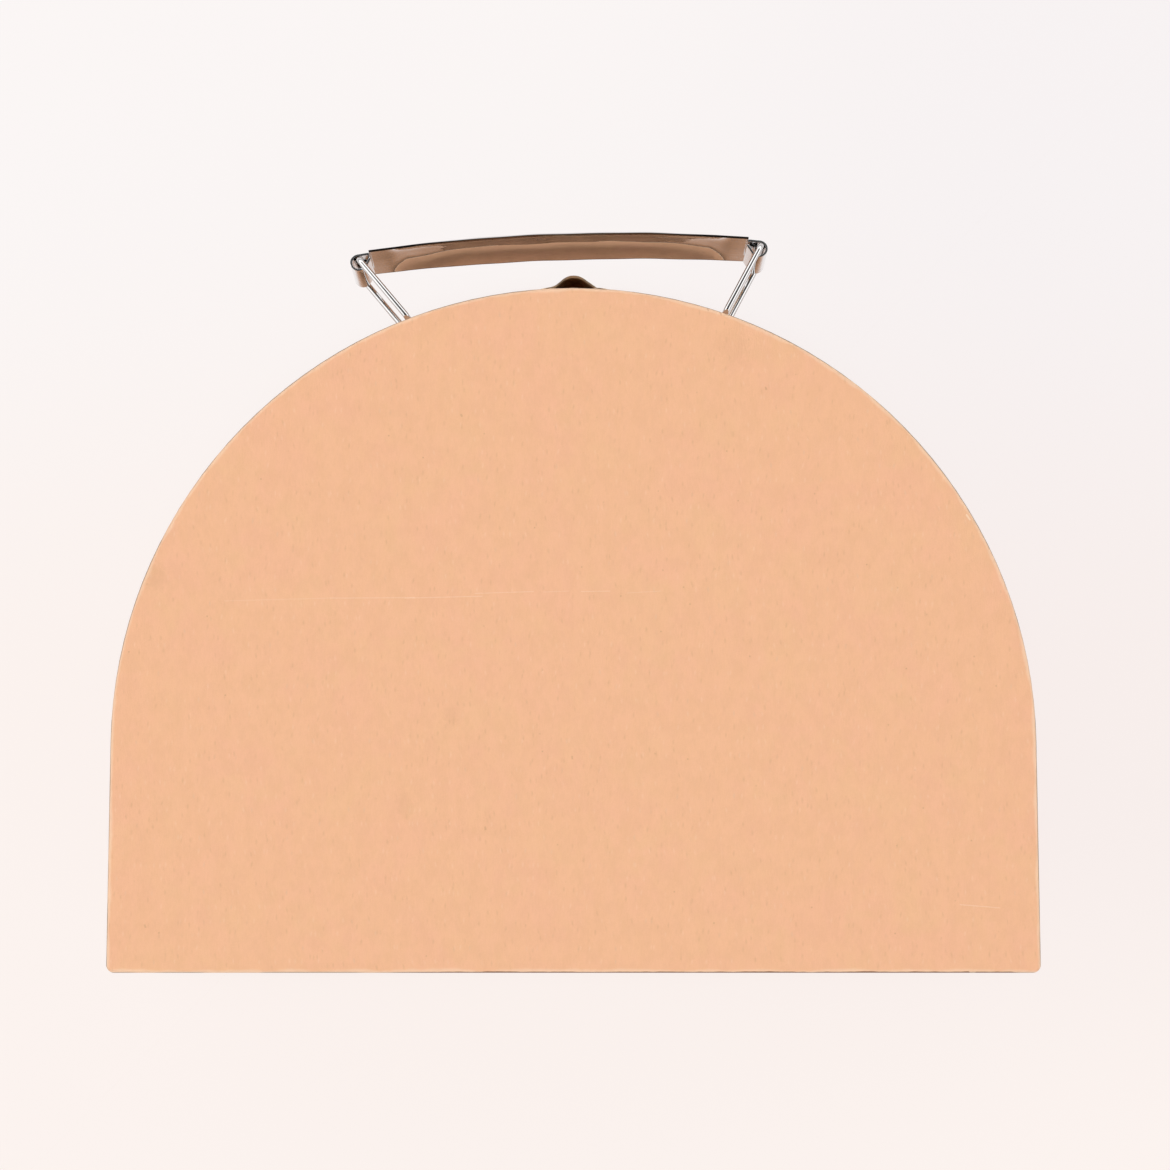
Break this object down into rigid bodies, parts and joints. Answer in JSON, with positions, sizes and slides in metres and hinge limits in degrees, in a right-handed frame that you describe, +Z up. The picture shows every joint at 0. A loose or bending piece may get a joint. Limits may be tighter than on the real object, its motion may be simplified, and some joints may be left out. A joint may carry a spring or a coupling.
{
  "type": "cardboard suitcase box",
  "caption": "Half-round toy suitcase of kraft board with a hinged lid, a swinging metal handle on wire rings and a hasp clasp, lying on its back.",
  "frame": {"origin": "centre of the D outline on the outer face of the back panel, the surface the case rests on", "axes": "+X across the foot, +Y from the foot to the handle at the arch's top, +Z up through the thickness of the case to the lid's face"},
  "size_m": [0.2, 0.1654, 0.08],
  "materials": {
    "kraft_board": "matte",
    "lining_card": "matte",
    "hinge_paper": "matte",
    "handle_chrome": "polished",
    "bracket_steel": "polished",
    "clasp_brass": "polished"
  },
  "bodies": {
    "base": {"base_panel": "kraft_board", "base_wall": "kraft_board", "base_foot": "kraft_board", "base_lining": "lining_card", "hinge_paper_base": "hinge_paper", "bracket_left": "bracket_steel", "bracket_right": "bracket_steel", "bracket_left_rivet_outer": "bracket_steel", "bracket_left_rivet_inner": "bracket_steel", "bracket_right_rivet_outer": "bracket_steel", "bracket_right_rivet_inner": "bracket_steel", "clasp_plate": "clasp_brass", "clasp_pin": "clasp_brass", "clasp_rivet_left": "clasp_brass", "clasp_rivet_right": "clasp_brass"},
    "lid": {"lid_panel": "kraft_board", "lid_wall": "kraft_board", "lid_foot": "kraft_board", "hinge_paper_lid": "hinge_paper", "clasp_catch": "clasp_brass", "catch_rivet_left": "clasp_brass", "catch_rivet_right": "clasp_brass"},
    "hasp": {"clasp_hasp": "clasp_brass"},
    "left_ring": {"ring_left": "handle_chrome"},
    "right_ring": {"ring_right": "handle_chrome"},
    "grip": {"handle_grip": "handle_chrome"}
  },
  "joints": [
    {"name": "lid_hinge", "type": "hinge", "parent": "base", "child": "lid", "pos_m": [0, -0.07365, 0.05], "axis": [1, 0, 0], "range_deg": [0, 175]},
    {"name": "clasp_hinge", "type": "hinge", "parent": "base", "child": "hasp", "pos_m": [0, 0.0744, 0.045], "axis": [-1, 0, 0], "range_deg": [0, 80]},
    {"name": "ring_left_swing", "type": "hinge", "parent": "base", "child": "left_ring", "pos_m": [-0.03758, 0.06862, 0.03613], "axis": [0, 0.1994, 0.9799], "range_deg": [-27, 16]},
    {"name": "ring_right_swing", "type": "hinge", "parent": "base", "child": "right_ring", "pos_m": [0.03426, 0.06988, 0.03587], "axis": [0, 0.1994, 0.9799], "range_deg": [-27.6, 16.4]},
    {"name": "grip_swing", "type": "hinge", "parent": "left_ring", "child": "grip", "pos_m": [-0.04909, 0.08231, 0.03334], "axis": [0, 0.1994, 0.9799], "range_deg": [-12.5, 21.1]}
  ],
  "couplings": [
    {"joint": "ring_right_swing", "follows": "ring_left_swing", "ratio": 1.02},
    {"joint": "grip_swing", "follows": "ring_left_swing", "ratio": -0.78}
  ]
}
